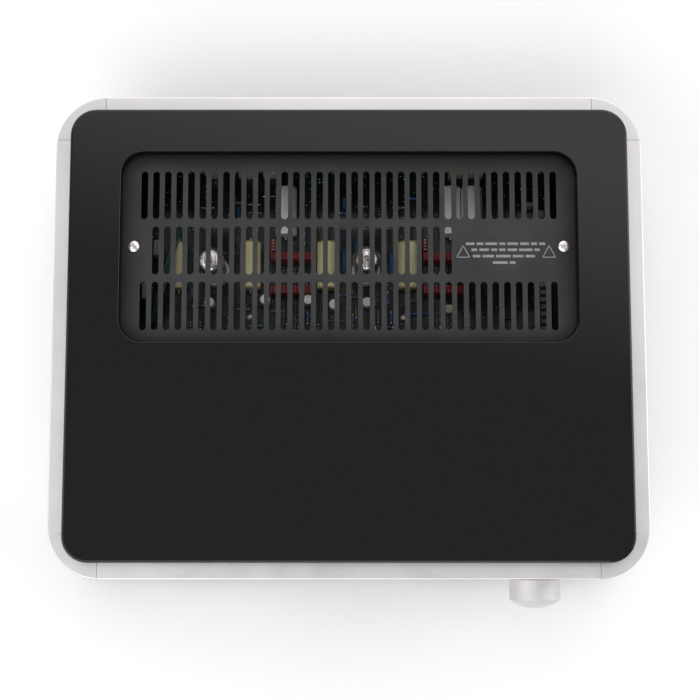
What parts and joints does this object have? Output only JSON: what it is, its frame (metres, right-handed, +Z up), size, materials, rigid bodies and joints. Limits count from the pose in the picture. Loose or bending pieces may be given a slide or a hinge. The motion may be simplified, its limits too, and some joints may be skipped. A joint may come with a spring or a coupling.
{
  "type": "tube amplifier",
  "caption": "Low wide tube line amplifier: satin aluminium frame with rounded corners, gloss black top slab, recessed slotted tube hatch, front knob, display and buttons, rear phono jacks.",
  "frame": {"origin": "centre of the object's footprint at the bottom of the feet", "axes": "+Z up, +Y to the rear, -Y the front with the volume knob, +X to the right seen from the front"},
  "size_m": [0.432, 0.386, 0.101],
  "materials": {
    "satin_aluminium": "bead-blasted and clear anodised, satin",
    "gloss_black": "polished black, mirror-like",
    "hatch_black": "satin black powder coat",
    "ledge_black": "matt black",
    "nickel_screw": "bright nickel",
    "black_screw": "black zinc",
    "base_black": "fine black powder coat",
    "rear_black": "fine black powder coat",
    "foot_rubber": "matt",
    "knob_aluminium": "turned and clear anodised",
    "shaft_steel": "turned",
    "control_black": "matt",
    "button_aluminium": "satin",
    "smoked_window": "smoked, polished",
    "board_green": "solder mask",
    "standoff_brass": "nickel-plated brass",
    "tube_glass": "clear glass, silvery getter flash at the top",
    "tube_metal": "carbonised nickel",
    "socket_ceramic": "glazed ceramic",
    "film_yellow": "tape wrap, epoxy ends",
    "can_aluminium": "drawn, satin",
    "film_red": "moulded box",
    "shield_steel": "zinc plated",
    "relay_cream": "moulded",
    "transformer_wrap": "tape wrapped, varnished",
    "plated_steel": "zinc plated",
    "filter_sleeve": "shrink sleeve",
    "jack_brass": "gold plated",
    "inlet_plastic": "moulded",
    "lead_teal": "insulated wire"
  },
  "bodies": {
    "chassis": {"base_plate": "base_black", "board_screws": "nickel_screw", "board_standoffs": "standoff_brass", "bottom_screws": "black_screw", "box_capacitors": "film_red", "can_capacitor_1": "can_aluminium", "can_capacitor_2": "can_aluminium", "can_capacitor_3": "can_aluminium", "control_board": "board_green", "corner_front_left": "satin_aluminium", "corner_front_right": "satin_aluminium", "corner_rear_left": "satin_aluminium", "corner_rear_right": "satin_aluminium", "display_module": "control_black", "display_window": "smoked_window", "encoder_body": "control_black", "encoder_nut": "shaft_steel", "film_capacitor_1": "film_yellow", "film_capacitor_2": "film_yellow", "film_capacitor_3": "film_yellow", "film_capacitor_4": "film_yellow", "filter_capacitors": "filter_sleeve", "foot_front_left": "foot_rubber", "foot_front_right": "foot_rubber", "foot_rear_left": "foot_rubber", "foot_rear_right": "foot_rubber", "front_panel": "satin_aluminium", "hatch_frame": "ledge_black", "input_relays": "relay_cream", "main_board": "board_green", "mains_inlet": "inlet_plastic", "phono_jacks": "jack_brass", "power_board": "board_green", "power_switch": "control_black", "power_transformer": "transformer_wrap", "rear_panel": "rear_black", "rear_rail": "satin_aluminium", "select_switches": "control_black", "side_panel_left": "satin_aluminium", "side_panel_right": "satin_aluminium", "signal_leads": "lead_teal", "small_capacitors": "can_aluminium", "top_panel": "gloss_black", "transformer_mount": "plated_steel", "tube_electrodes_left": "tube_metal", "tube_electrodes_right": "tube_metal", "tube_left": "tube_glass", "tube_right": "tube_glass", "tube_shields": "shield_steel", "tube_socket_left": "socket_ceramic", "tube_socket_right": "socket_ceramic"},
    "hatch": {"vent_hatch": "hatch_black", "hatch_screws": "nickel_screw"},
    "volume": {"volume_knob": "knob_aluminium", "volume_shaft": "shaft_steel", "knob_grub_screw": "shaft_steel"},
    "power_button": {"power_button": "button_aluminium"},
    "select_left": {"select_button_left": "button_aluminium"},
    "select_right": {"select_button_right": "button_aluminium"},
    "rocker": {"mains_rocker": "inlet_plastic"}
  },
  "joints": [
    {"name": "hatch_lift", "type": "slide", "parent": "chassis", "child": "hatch", "axis": [0, 0, 1], "range_m": [0, 0.06]},
    {"name": "volume_turn", "type": "hinge", "parent": "chassis", "child": "volume", "pos_m": [0.1373, -0.171, 0.0515], "axis": [0, 1, 0], "continuous": true},
    {"name": "power_press", "type": "slide", "parent": "chassis", "child": "power_button", "axis": [0, 1, 0], "range_m": [0, 0.0015], "stiffness_N_per_m": 400, "springref_m": -0.002},
    {"name": "select_left_press", "type": "slide", "parent": "chassis", "child": "select_left", "axis": [0, 1, 0], "range_m": [0, 0.0008], "stiffness_N_per_m": 400, "springref_m": -0.002},
    {"name": "select_right_press", "type": "slide", "parent": "chassis", "child": "select_right", "axis": [0, 1, 0], "range_m": [0, 0.0008], "stiffness_N_per_m": 400, "springref_m": -0.002},
    {"name": "rocker_tilt", "type": "hinge", "parent": "chassis", "child": "rocker", "pos_m": [-0.106, 0.18, 0.045], "axis": [1, 0, 0], "range_deg": [-19, 0]}
  ]
}
